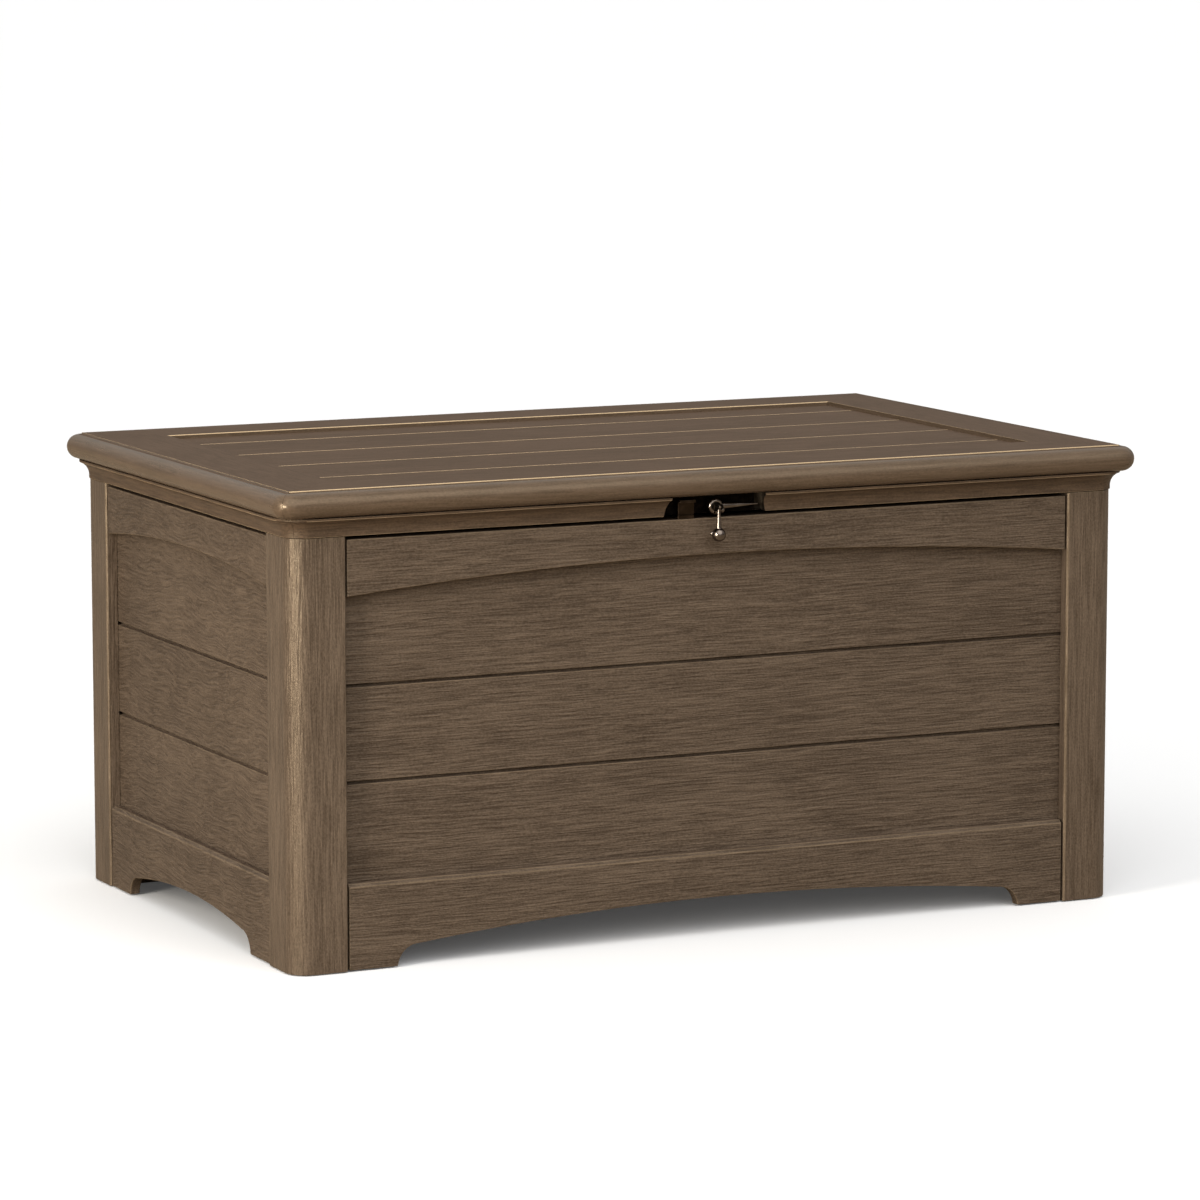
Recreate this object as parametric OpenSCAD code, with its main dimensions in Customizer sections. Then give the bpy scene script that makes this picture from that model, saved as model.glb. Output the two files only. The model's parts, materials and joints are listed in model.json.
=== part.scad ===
// Deck storage box: post-and-board body, hinged lid with a bullnose edge, turn latch.
// The origin is on the ground under the middle of the body. X is the width, -Y the front, Z up.

/* [Overall size] */
// Width over the corner posts
body_w = 1100; // [800:10:1500]
// Depth over the corner posts
body_d = 678; // [500:2:900]
// Height of the posts from the ground
body_h = 512; // [400:2:700]
// Height of the lid above the posts
lid_h = 56; // [52:1:64]

/* [Posts] */
// Width of a post on the front and rear
post_w = 69; // [60:1:100]
// Width of a post on the left and right
post_d = 75; // [60:1:100]
// Radius of a post's outer corner
post_r = 26; // [8:1:30]
// Bevel on a post's edges next to the boards
post_bevel = 1.5; // [0.5:0.5:3]
// Wall of the hollow post
post_wall = 6; // [4:0.5:8]
// Depth of the groove that takes the boards' ends
groove_depth = 12; // [8:1:16]

/* [Wall boards] */
// Thickness of a board
board_t = 18; // [14:1:22]
// How far the boards lie behind the posts' faces
board_set = 15; // [10:1:20]
// How far the headers and skirts lie behind the posts' faces
face_set = 2; // [0.5:0.5:4]
// Top of the skirts' inner rail, where the lowest board starts
rail_top_z = 92; // [86:1:100]
// Height of the lowest seam between two boards
seam_z = 221; // [190:1:240]
// Height of the middle board
board_h = 114; // [90:1:120]
// Chamfer on a board's visible edges
board_chamfer = 0.6; // [0.4:0.2:3]
// Thickness of a tongue
tongue_t = 6; // [4:0.5:8]
// Height of a tongue
tongue_h = 6; // [4:0.5:8]

/* [Headers] */
// Gap between a header and the underside of the lid
header_gap = 4.8; // [4.6:0.1:6]
// Height of a header at its middle
header_h = 43.7; // [36:0.1:50]
// Extra height of the front and rear headers at their ends
header_drop_front = 22.8; // [10:0.1:30]
// Extra height of the left and right headers at their ends
header_drop_side = 15.5; // [8:0.1:24]
// Height of a header's inner rail
header_rail_h = 34; // [30:1:38]

/* [Skirts] */
// Height of the skirts' upper edge
skirt_top_z = 104; // [98:1:120]
// Bevel on the skirts' upper edge
skirt_bevel = 4; // [2:0.5:6]
// Gap between a skirt's feet and the ground
skirt_lift = 2; // [1.6:0.1:4]
// Height of the front and rear arches at their middle
arch_h_front = 48.4; // [36:0.1:50]
// Height of the left and right arches at their middle
arch_h_side = 41; // [34:0.5:50]
// Height of an arch at its ends
arch_end_h = 27; // [20:0.5:30]
// Width of a foot of the front and rear skirts
foot_w_front = 61.5; // [40:0.5:80]
// Width of a foot of the left and right skirts
foot_w_side = 61.5; // [40:0.5:80]

/* [Floor] */
// Thickness of the floor panel
floor_t = 12; // [8:1:16]
// Height of the floor panel's underside
floor_z = 70; // [66:1:74]
// Side of a floor cleat
cleat_size = 18; // [14:1:22]
// Width of a floor bearer
bearer_w = 40; // [30:1:60]
// Distance between the floor bearers
bearer_pitch = 340; // [250:10:450]

/* [Lid] */
// Width of the lid frame at the front and rear, behind the posts' faces
frame_w_front = 77; // [60:1:100]
// Width of the lid frame at the left and right, behind the posts' faces
frame_w_side = 83; // [60:1:100]
// Thickness of the lid frame
frame_t = 20; // [18:1:22]
// How far the lid's top plane reaches past the posts
top_overhang = 2; // [0:0.5:6]
// Radius of the bullnose
nose_r = 15; // [13:0.5:16]
// How far the middle of the bullnose lies past the top plane
nose_out = 5; // [3:0.5:8]
// Radius of the bullnose's turn at a corner, to the middle of the bullnose
nose_turn = 9; // [6:1:12]
// Step down from the top plane to the bullnose
nose_step = 2; // [1:0.5:3]
// Thickness of a lid board, which leaves the boards sunk in the frame
lid_board_t = 15; // [12:1:15]
// Width of a lid board, apart from the two outer ones
lid_board_w = 127.5; // [80:0.5:140]
// Width of a lid batten
batten_w = 60; // [40:1:80]
// Thickness of a lid batten
batten_t = 18; // [12:1:20]
// Distance between the lid battens
batten_pitch = 330; // [240:10:360]

/* [Cove] */
// Radius of the cove under the bullnose
cove_r = 17; // [14:0.5:18]
// Height of the straight lip under the cove
lip_h = 4.2; // [3:0.1:6]
// How far the lip lies past the posts
lip_out = 1.5; // [0.5:0.5:3]
// How far the cove rail's upper edge lies past the posts
cove_out = 13.5; // [10:0.5:15]
// Width of a cove rail behind the posts' faces
cove_rail_w = 36; // [34:1:40]

/* [Hinges] */
// Number of hinges
hinge_count = 3; // [2:1:3]
// Distance between the hinges
hinge_pitch = 330; // [240:10:420]
// Width of a hinge
hinge_w = 60; // [50:1:80]
// Radius of a hinge knuckle
knuckle_r = 6; // [5:0.1:6]
// Radius of a hinge pin
hinge_pin_r = 2; // [1.5:0.1:3]
// How far the hinge axis lies behind the posts' faces
hinge_out = 10; // [9:0.5:12]
// Thickness of a hinge leaf
leaf_t = 2; // [1.5:0.1:2]
// Height of a body leaf
leaf_h = 38; // [32:1:40]

/* [Latch] */
// Distance of the latch from the middle of the box
latch_x = -6; // [-20:1:20]
// Height of the latch stud above the posts
latch_rise = 10; // [9.6:0.1:11]
// Radius of the latch stud
stud_r = 4; // [3:0.1:4.5]
// Radius of the lever's hub
hub_r = 9.5; // [8:0.1:10]
// Length of the lever from the stud to its tip
lever_len = 58; // [54:1:60]
// Radius of the lever's tapered arm at its root
arm_r = 4.5; // [3.5:0.1:4.6]
// Radius of the pull's ball
ball_r = 8.4; // [7:0.1:8.6]
// Distance from the pull's pin to the middle of its ball
pull_len = 33; // [30:1:36]

/* [Clearances] */
// Gap between the lid and the posts
lid_gap = 0.8; // [0.8:0.1:1.2]
// Gap between the wall boards' faces
seam_gap = 4; // [1:0.25:4.5]
// Gap between the lid boards
lid_seam_gap = 1.2; // [0.6:0.1:2]
// Gap around a board's end in its groove
fit_gap = 0.3; // [0.2:0.05:0.5]
// Gap between a header or skirt and a post
end_gap = 2.5; // [1:0.1:4]
// Radial clearance of a pin, stud or screw in its hole
pin_gap = 0.05; // [0.03:0.01:0.09]

/* [Hidden] */

// Colours of the stained boards, the lid's top, the bronze latch and the plain hardware
BOARD = [0.36, 0.30, 0.24];
TOP = [0.34, 0.29, 0.25];
HIDDEN_WOOD = [0.40, 0.35, 0.30];
BRONZE = [0.20, 0.16, 0.13];
STEEL = [0.55, 0.55, 0.56];
RUBBER = [0.10, 0.10, 0.10];

// Walls by number, each a quarter turn from the last: the side's half depth and half length
FRONT = 0;
RIGHT = 1;
REAR = 2;
LEFT = 3;
function is_long(side) = side % 2 == 0;
function half_depth(side) = is_long(side) ? body_d / 2 : body_w / 2;
function half_length(side) = is_long(side) ? body_w / 2 : body_d / 2;
function post_along(side) = is_long(side) ? post_w : post_d;
function span(side) = 2 * (half_length(side) - post_along(side));
// Radius of the circle through the ends of a chord and the top of its arc
function arc_radius(half_chord, rise) = (half_chord * half_chord + rise * rise) / (2 * rise);
// Points along a shallow arc with its top at (0, top), from left to right
function arc_points(half_chord, rise, top) = let (radius = arc_radius(half_chord, rise))
    [for (i = [-arc_steps : arc_steps]) let (x = half_chord * i / arc_steps)
        [x, top - radius + sqrt(radius * radius - x * x)]];

lid_under_z = body_h + lid_gap;
lid_top_z = body_h + lid_h;
frame_under_z = lid_top_z - frame_t;
nose_z = lid_top_z - nose_step - nose_r;
nose_under_z = nose_z - nose_r;
nose_edge = top_overhang + nose_out;
nose_depth = 12;
header_top_z = lid_under_z - header_gap;
header_mid_z = header_top_z - header_h;
header_rail_z = header_top_z - header_rail_h;
inner_face = board_set + board_t;
board_mid = board_set + board_t / 2;
board_rows = [rail_top_z, seam_z, seam_z + board_h, header_rail_z];
skirt_rail_z = arch_h_front + 3.6;
batten_z = frame_under_z - batten_t;
lid_boards = 5;
curve = 96;
arc_steps = 16;

// Screws: shank radius, head radius, head height
SCREW = [2, 4, 1.5];
SMALL_SCREW = [1.5, 3, 1.2];

// Foot glide and bumper sizes
glide_t = 1.5;
glide_plug = 12;
bumper_r = 8;
bumper_t = 2;
bumper_proud = 0.5;
bumper_inset = 20;

// Hinge places and the latch's layers, measured behind the front face of the posts
hinge_xs = [for (i = [0 : hinge_count - 1]) (i - (hinge_count - 1) / 2) * hinge_pitch];
hinge_z = body_h;
knuckle_gap = 0.3;
lid_knuckle_w = 20;
leaf_screw_x = 18;
leaf_screw_drop = [14, 32];
lid_leaf_screw_y = 22;
stud_z = body_h + latch_rise;
plate_t = 2.5;
plate_w = 116;
plate_h = 20;
plate_screw_x = 54;
hub_back = 3;
hub_front = -6.5;
hub_bevel = 2.4;
arm_start = 7;
arm_axis = -0.8;
arm_back = 0.8;
arm_tip_r = 0.8;
bead_r = 3.6;
disc_r = 5.5;
disc_t = 1.5;
disc_back = hub_front - 0.3;
eye_r = 3;
eye_w = 3.4;
fork_w = 9;
fork_slot = eye_w + 0.6;
fork_reach = 1.3;
pull_pin_r = 1.2;
pull_pin_y = disc_back - disc_t - fork_reach - eye_r;
stem_top = 1.5;
stem_bottom = 3.4;
pull_bead_r = 2.4;
notch_half = 67.5;
notch_slant = 6.5;
keeper_x = -42;
keeper_w = 21;
keeper_back = 5;
keeper_t = 2.5;
keeper_hook_z = stud_z + 5.8;
keeper_hook_t = 3.2;
keeper_foot = 25;
keeper_screw_x = 7;
keeper_screw_y = 22;

// Places children on a side: X along the wall, Y inwards from the posts' faces
module at_side(side) {
    rotate([0, 0, 90 * side]) translate([0, -half_depth(side), 0]) children();
}

// Extrudes an outline of (inwards, up) along the wall
module along(length) {
    rotate([90, 0, 90]) linear_extrude(length, center = true) children();
}

// Extrudes an outline of (along, up) inwards from one depth to another
module through(from, to) {
    translate([0, to, 0]) rotate([90, 0, 0]) linear_extrude(to - from) children();
}

// A screw with its head's underside at the origin and its shank along -Z
module screw(kind, length) {
    translate([0, 0, -length]) cylinder(h = length, r = kind[0], $fn = curve);
    cylinder(h = kind[2], r = kind[1], $fn = curve);
}

// The hole for a screw's shank, from the origin along -Z
module screw_hole(kind, length) {
    translate([0, 0, -length]) cylinder(h = length + 1, r = kind[0] + pin_gap, $fn = curve);
}

// ---- Posts ----

// The post at the front left; the others are mirror images
module post_shape() {
    core_w = post_w - groove_depth - 2 * post_wall;
    core_d = post_d - groove_depth - 2 * post_wall;
    translate([-body_w / 2, -body_d / 2, 0]) difference() {
        translate([0, 0, glide_t]) linear_extrude(body_h - glide_t) union() {
            polygon([
                [post_r, 0], [post_w - post_bevel, 0], [post_w, post_bevel], [post_w, post_d],
                [post_bevel, post_d], [0, post_d - post_bevel], [0, post_r]
            ]);
            translate([post_r, post_r]) circle(post_r, $fn = curve);
        }
        translate([post_wall, post_wall, 0]) linear_extrude(body_h - post_wall) union() {
            core_r = max(post_r - post_wall, 2);
            translate([core_r, 0]) square([core_w - core_r, core_d]);
            translate([0, core_r]) square([core_w, core_d - core_r]);
            translate([core_r, core_r]) circle(core_r, $fn = curve);
        }
        translate([post_w - groove_depth, board_set - fit_gap, 0])
            cube([groove_depth + 1, board_t + 2 * fit_gap, header_top_z + fit_gap]);
        translate([board_set - fit_gap, post_d - groove_depth, 0])
            cube([board_t + 2 * fit_gap, groove_depth + 1, header_top_z + fit_gap]);
        translate([bumper_inset, bumper_inset, body_h - bumper_t + bumper_proud])
            cylinder(h = bumper_t, r = bumper_r + pin_gap, $fn = curve);
    }
}

module post_front_left() color(BOARD) post_shape();
module post_front_right() color(BOARD) mirror([1, 0, 0]) post_shape();
module post_rear_left() color(BOARD) mirror([0, 1, 0]) post_shape();
module post_rear_right() color(BOARD) mirror([0, 1, 0]) mirror([1, 0, 0]) post_shape();

// ---- Headers, skirts and boards ----

// A rail behind a face board, its ends in the posts' grooves
module inner_rail(side, z0, z1) {
    length = span(side) + 2 * (groove_depth - fit_gap);
    translate([-length / 2, board_set, z0]) cube([length, board_t, z1 - z0]);
}

// The tongue on the upper edge of a board or rail
module tongue(side, z) {
    length = span(side) + 2 * (groove_depth - fit_gap);
    translate([-length / 2, board_mid - tongue_t / 2, z - 1]) cube([length, tongue_t, tongue_h + 1]);
}

// The groove in the lower edge of a board or rail
module tongue_groove(side, z) {
    length = span(side) + 4 * groove_depth;
    height = tongue_h + seam_gap + fit_gap;
    translate([-length / 2, board_mid - tongue_t / 2 - fit_gap, z - 1])
        cube([length, tongue_t + 2 * fit_gap, height + 1]);
}

module header_shape(side) {
    half = span(side) / 2 - end_gap;
    drop = is_long(side) ? header_drop_front : header_drop_side;
    at_side(side) difference() {
        union() {
            through(face_set, board_set) polygon(concat(
                arc_points(half, drop, header_mid_z), [[half, header_top_z], [-half, header_top_z]]
            ));
            inner_rail(side, header_rail_z, header_top_z);
        }
        tongue_groove(side, header_rail_z);
        if (side == REAR) body_leaf_holes();
        if (side == FRONT) keeper_holes();
    }
}

module front_header() color(BOARD) header_shape(FRONT);
module right_header() color(BOARD) header_shape(RIGHT);
module rear_header() color(BOARD) header_shape(REAR);
module left_header() color(BOARD) header_shape(LEFT);

module skirt_shape(side) {
    half = span(side) / 2 - end_gap;
    foot = is_long(side) ? foot_w_front : foot_w_side;
    arch_h = is_long(side) ? arch_h_front : arch_h_side;
    half_arch = half - foot - arch_end_h;
    at_side(side) {
        intersection() {
            through(face_set, board_set) difference() {
                translate([-half, skirt_lift]) square([2 * half, skirt_top_z - skirt_lift]);
                polygon(concat(
                    arc_points(half_arch, arch_h - arch_end_h, arch_h), [[half_arch, -1], [-half_arch, -1]]
                ));
                for (s = [-1, 1]) translate([s * half_arch, 0]) circle(arch_end_h, $fn = curve);
            }
            along(2 * half) polygon([
                [face_set, 0], [board_set + 1, 0], [board_set + 1, skirt_top_z],
                [face_set + skirt_bevel, skirt_top_z], [face_set, skirt_top_z - skirt_bevel]
            ]);
        }
        difference() {
            union() {
                inner_rail(side, skirt_rail_z, rail_top_z);
                tongue(side, rail_top_z);
            }
            cleat_holes(side);
        }
    }
}

module front_skirt() color(BOARD) skirt_shape(FRONT);
module right_skirt() color(BOARD) skirt_shape(RIGHT);
module rear_skirt() color(BOARD) skirt_shape(REAR);
module left_skirt() color(BOARD) skirt_shape(LEFT);

// A wall board with chamfered edges, tongue up and groove down; rows count from the bottom
module board_shape(side, row) {
    z0 = board_rows[row] + seam_gap / 2;
    z1 = board_rows[row + 1] - seam_gap / 2;
    c = board_chamfer;
    length = span(side) + 2 * (groove_depth - fit_gap);
    at_side(side) difference() {
        union() {
            along(length) polygon([
                [board_set, z0 + c], [board_set + c, z0], [inner_face, z0],
                [inner_face, z1], [board_set + c, z1], [board_set, z1 - c]
            ]);
            tongue(side, z1);
        }
        tongue_groove(side, z0);
    }
}

module front_board_bottom() color(BOARD) board_shape(FRONT, 0);
module front_board_middle() color(BOARD) board_shape(FRONT, 1);
module front_board_top() color(BOARD) board_shape(FRONT, 2);
module right_board_bottom() color(BOARD) board_shape(RIGHT, 0);
module right_board_middle() color(BOARD) board_shape(RIGHT, 1);
module right_board_top() color(BOARD) board_shape(RIGHT, 2);
module rear_board_bottom() color(BOARD) board_shape(REAR, 0);
module rear_board_middle() color(BOARD) board_shape(REAR, 1);
module rear_board_top() color(BOARD) board_shape(REAR, 2);
module left_board_bottom() color(BOARD) board_shape(LEFT, 0);
module left_board_middle() color(BOARD) board_shape(LEFT, 1);
module left_board_top() color(BOARD) board_shape(LEFT, 2);

// ---- Floor ----

// Places children at a cleat's four screws: origin on the cleat's inner face, -Z into the skirt
module at_cleat_screws(side) {
    for (i = [-1.5 : 1 : 1.5])
        translate([i * (span(side) - 60) / 3, inner_face + cleat_size, floor_z - cleat_size / 2])
            rotate([-90, 0, 0]) children();
}

module cleat_holes(side) at_cleat_screws(side) screw_hole(SCREW, cleat_size + 14);

module floor_cleats() color(HIDDEN_WOOD) for (side = [FRONT : LEFT]) at_side(side) difference() {
    translate([-span(side) / 2 + 2, inner_face, floor_z - cleat_size])
        cube([span(side) - 4, cleat_size, cleat_size]);
    cleat_holes(side);
}

module cleat_screws() color(STEEL) for (side = [FRONT : LEFT]) at_side(side)
    at_cleat_screws(side) screw(SCREW, cleat_size + 13);

module floor_panel() {
    half_w = body_w / 2 - inner_face - 1;
    half_d = body_d / 2 - inner_face - 1;
    color(HIDDEN_WOOD) difference() {
        translate([-half_w, -half_d, floor_z]) cube([2 * half_w, 2 * half_d, floor_t]);
        for (sx = [-1, 1]) for (sy = [-1, 1])
            translate([sx * body_w / 2, sy * body_d / 2, floor_z])
                cube([2 * post_w + 2, 2 * post_d + 2, 3 * floor_t], center = true);
    }
}

module floor_bearers() {
    half = body_d / 2 - inner_face - cleat_size - SCREW[2] - 0.5;
    color(HIDDEN_WOOD) for (s = [-1, 1])
        translate([s * bearer_pitch / 2 - bearer_w / 2, -half, floor_z - cleat_size])
            cube([bearer_w, 2 * half, cleat_size]);
}

module foot_glides() {
    gap = fit_gap;
    plug_w = post_w - groove_depth - 2 * post_wall - 2 * gap;
    plug_d = post_d - groove_depth - 2 * post_wall - 2 * gap;
    corner = max(post_r - post_wall, 2);
    color(RUBBER) for (mx = [0, 1]) for (my = [0, 1]) mirror([mx, 0, 0]) mirror([0, my, 0])
        translate([-body_w / 2 + post_wall + gap, -body_d / 2 + post_wall + gap, 0]) {
            linear_extrude(glide_t + glide_plug) difference() {
                square([plug_w, plug_d]);
                square([corner, corner]);
            }
            translate([corner, corner, 0]) cylinder(h = glide_t + glide_plug, r = corner, $fn = curve);
        }
}

module lid_bumpers() {
    x = body_w / 2 - bumper_inset;
    y = body_d / 2 - bumper_inset;
    z = body_h - bumper_t + bumper_proud;
    color(RUBBER) for (sx = [-1, 1]) for (sy = [-1, 1]) translate([sx * x, sy * y, z])
        cylinder(h = bumper_t, r = bumper_r, $fn = curve);
}

// ---- Lid ----

// The part of the lid that lies between a side's two mitres
module mitre(side) {
    xi = half_length(side) - (is_long(side) ? frame_w_side : frame_w_front);
    yi = is_long(side) ? frame_w_front : frame_w_side;
    xc = half_length(side) + nose_edge;
    gap = 0.2;
    // The mitre runs from the frame's inner corner through the bullnose's corner
    function at(t) = [xi + (xc - xi) * t - gap, yi + (-nose_edge - yi) * t];
    translate([0, 0, body_h - 10]) linear_extrude(lid_h + 20)
        polygon([at(0), at(1.6), [-at(1.6)[0], at(1.6)[1]], [-at(0)[0], at(0)[1]]]);
}

// The outline that turns about a corner of the lid to make the bullnose
module nose_corner() {
    translate([0, -nose_r]) square([nose_turn, 2 * nose_r]);
    intersection() {
        translate([nose_turn, 0]) circle(nose_r, $fn = curve);
        translate([nose_turn, -nose_r]) square([nose_r, 2 * nose_r]);
    }
}

module frame_shape(side) {
    half = half_length(side);
    depth = is_long(side) ? frame_w_front : frame_w_side;
    edge = half + nose_edge;
    turn = edge - nose_turn;
    at_side(side) intersection() {
        mitre(side);
        union() {
            translate([-half - top_overhang, -top_overhang, frame_under_z])
                cube([2 * (half + top_overhang), depth + top_overhang, frame_t]);
            translate([-turn, -nose_edge, nose_under_z])
                cube([2 * turn, nose_edge + nose_depth, 2 * nose_r]);
            translate([-edge, nose_turn - nose_edge, nose_under_z])
                cube([2 * edge, nose_edge + nose_depth - nose_turn, 2 * nose_r]);
            translate([-turn, -nose_edge, nose_z]) rotate([0, 90, 0])
                cylinder(h = 2 * turn, r = nose_r, $fn = curve);
            for (s = [0, 1]) mirror([s, 0, 0]) translate([-turn, nose_turn - nose_edge, nose_z])
                rotate([0, 0, 180]) rotate_extrude(angle = 90, $fn = curve) nose_corner();
        }
    }
}

module lid_frame_front() color(TOP) frame_shape(FRONT);
module lid_frame_right() color(TOP) frame_shape(RIGHT);
module lid_frame_rear() color(TOP) frame_shape(REAR);
module lid_frame_left() color(TOP) frame_shape(LEFT);

// The cove rail's outline of (inwards, up)
module cove_outline() {
    difference() {
        union() {
            translate([-cove_out, lid_under_z])
                square([cove_out + cove_rail_w, nose_under_z - lid_under_z]);
            translate([nose_depth + fit_gap, lid_under_z])
                square([cove_rail_w - nose_depth - fit_gap, frame_under_z - lid_under_z]);
        }
        translate([-lip_out - cove_r, lid_under_z + lip_h]) circle(cove_r, $fn = curve);
        translate([-lip_out - 2 * cove_r, lid_under_z - 1]) square([2 * cove_r, lip_h + 1]);
    }
}

// What the cove takes away around the left end's rounded corner
module cove_corner_cut(side) {
    translate([-half_length(side) + post_r, post_r, 0]) rotate([0, 0, 180])
        rotate_extrude(angle = 90, $fn = curve) difference() {
            translate([post_r + lip_out, lid_under_z - 1])
                square([3 * post_r, nose_under_z - lid_under_z + 2]);
            translate([post_r, 0]) mirror([1, 0]) cove_outline();
        }
}

module cove_shape(side) {
    half = half_length(side);
    inset = nose_depth + fit_gap;
    at_side(side) difference() {
        intersection() {
            mitre(side);
            union() {
                along(2 * (half - post_r)) cove_outline();
                for (s = [0, 1]) mirror([s, 0, 0]) translate([-half - cove_out, -cove_out, lid_under_z])
                    cube([post_r + cove_out, post_r + cove_out, nose_under_z - lid_under_z]);
                for (s = [0, 1]) mirror([s, 0, 0]) translate([-half + inset, inset, lid_under_z])
                    cube([post_r, cove_rail_w - inset, frame_under_z - lid_under_z]);
            }
        }
        for (s = [0, 1]) mirror([s, 0, 0]) cove_corner_cut(side);
        if (side == REAR) lid_leaf_holes();
        if (side == FRONT) latch_notch();
        if (side == FRONT) latch_plate_holes();
    }
}

module lid_cove_front() color(BOARD) cove_shape(FRONT);
module lid_cove_right() color(BOARD) cove_shape(RIGHT);
module lid_cove_rear() color(BOARD) cove_shape(REAR);
module lid_cove_left() color(BOARD) cove_shape(LEFT);

// Edges of the lid boards from front to rear: the middle ones have a set width
lid_half_d = body_d / 2 - frame_w_front;
lid_edges = concat([-lid_half_d],
    [for (i = [1 : lid_boards - 1]) (i - lid_boards / 2) * lid_board_w], [lid_half_d]);
batten_xs = [-batten_pitch, 0, batten_pitch];

module lid_board_shape(row) {
    y0 = lid_edges[row] + lid_seam_gap / 2;
    y1 = lid_edges[row + 1] - lid_seam_gap / 2;
    z0 = frame_under_z;
    z1 = z0 + lid_board_t;
    c = board_chamfer;
    length = body_w - 2 * frame_w_side - 2 * fit_gap;
    difference() {
        along(length) polygon([[y0, z0], [y1, z0], [y1, z1 - c], [y1 - c, z1], [y0 + c, z1], [y0, z1 - c]]);
        for (x = batten_xs) at_batten_screw(x, row) screw_hole(SCREW, batten_t + 11);
    }
}

// Places children at the screw of one batten in one lid board: -Z points up into the board
module at_batten_screw(x, row) {
    translate([x, (lid_edges[row] + lid_edges[row + 1]) / 2, batten_z]) rotate([180, 0, 0]) children();
}

module lid_board_1() color(TOP) lid_board_shape(0);
module lid_board_2() color(TOP) lid_board_shape(1);
module lid_board_3() color(TOP) lid_board_shape(2);
module lid_board_4() color(TOP) lid_board_shape(3);
module lid_board_5() color(TOP) lid_board_shape(4);

module lid_battens() {
    half = body_d / 2 - cove_rail_w - fit_gap;
    color(HIDDEN_WOOD) for (x = batten_xs) difference() {
        translate([x - batten_w / 2, -half, batten_z]) cube([batten_w, 2 * half, batten_t]);
        for (row = [0 : lid_boards - 1]) at_batten_screw(x, row) screw_hole(SCREW, batten_t + 1);
    }
}

module batten_screws() color(STEEL) for (x = batten_xs) for (row = [0 : lid_boards - 1])
    at_batten_screw(x, row) screw(SCREW, batten_t + 10);

// ---- Hinges: the axis runs along X behind the rear wall ----

module at_hinges() {
    for (x = hinge_xs) at_side(REAR) translate([x, 0, 0]) children();
}

// A knuckle with its bore from one place to another along the wall
module knuckle(from, to) {
    translate([from, -hinge_out, hinge_z]) rotate([0, 90, 0])
        cylinder(h = to - from, r = knuckle_r, $fn = curve);
}

module hinge_bore() {
    translate([-hinge_w, -hinge_out, hinge_z]) rotate([0, 90, 0])
        cylinder(h = 2 * hinge_w, r = hinge_pin_r + pin_gap, $fn = curve);
}

// Places children at a body leaf's screws: origin on the leaf, -Z into the header
module at_body_leaf_screws() {
    for (x = [-leaf_screw_x, leaf_screw_x]) for (drop = leaf_screw_drop)
        translate([x, face_set - leaf_t, hinge_z - drop]) rotate([90, 0, 0]) children();
}

module body_leaf_holes() for (x = hinge_xs) translate([x, 0, 0]) at_body_leaf_screws()
    screw_hole(SCREW, 20);

module hinge_body_leaves() color(STEEL) at_hinges() difference() {
    web_z = hinge_z - knuckle_r;
    union() {
        translate([-hinge_w / 2, face_set - leaf_t, web_z - leaf_h]) cube([hinge_w, leaf_t, leaf_h]);
        for (s = [0, 1]) mirror([s, 0, 0]) {
            knuckle(lid_knuckle_w / 2 + knuckle_gap, hinge_w / 2);
            translate([lid_knuckle_w / 2 + knuckle_gap, -hinge_out, web_z])
                cube([(hinge_w - lid_knuckle_w) / 2 - knuckle_gap, hinge_out + face_set, leaf_t]);
            translate([lid_knuckle_w / 2 + knuckle_gap, face_set - leaf_t, web_z - 1])
                cube([(hinge_w - lid_knuckle_w) / 2 - knuckle_gap, leaf_t, leaf_t + 1]);
        }
    }
    hinge_bore();
    at_body_leaf_screws() screw_hole(SCREW, 10);
}

module hinge_body_screws() color(STEEL) at_hinges() at_body_leaf_screws() screw(SCREW, 18);

module hinge_pins() color(STEEL) at_hinges()
    translate([-hinge_w / 2 - 1, -hinge_out, hinge_z]) rotate([0, 90, 0])
        cylinder(h = hinge_w + 2, r = hinge_pin_r, $fn = curve);

// Places children at a lid leaf's screws: origin under the leaf, -Z up into the cove rail
module at_lid_leaf_screws() {
    for (x = [-leaf_screw_x, leaf_screw_x])
        translate([x, lid_leaf_screw_y, lid_under_z - leaf_t]) rotate([180, 0, 0]) children();
}

module lid_leaf_holes() for (x = hinge_xs) translate([x, 0, 0]) at_lid_leaf_screws()
    screw_hole(SCREW, 16);

module hinge_lid_leaves() color(STEEL) at_hinges() difference() {
    union() {
        knuckle(-lid_knuckle_w / 2, lid_knuckle_w / 2);
        translate([-lid_knuckle_w / 2, -hinge_out, lid_under_z - leaf_t])
            cube([lid_knuckle_w, hinge_out + 1, leaf_t]);
        translate([-hinge_w / 2, 0, lid_under_z - leaf_t])
            cube([hinge_w, cove_rail_w - 4, leaf_t]);
    }
    hinge_bore();
    at_lid_leaf_screws() screw_hole(SCREW, 10);
}

module hinge_lid_screws() color(STEEL) at_hinges() at_lid_leaf_screws() screw(SCREW, 14);

// ---- Latch: the stud stands out of a notch in the front cove rail ----

module latch_notch() {
    translate([latch_x, 0, 0]) through(-cove_out - 5, nose_depth) polygon([
        [-notch_half, lid_under_z - 1], [notch_half, lid_under_z - 1],
        [notch_half - notch_slant, nose_under_z + 1], [-notch_half + notch_slant, nose_under_z + 1]
    ]);
}

// Places children at the latch's screws: origin on the plate, -Z into the rail
module at_plate_screws() {
    for (s = [-1, 1]) translate([latch_x + s * plate_screw_x, nose_depth - plate_t, stud_z])
        rotate([90, 0, 0]) children();
}

module latch_plate_holes() at_plate_screws() screw_hole(SMALL_SCREW, 16);

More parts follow.
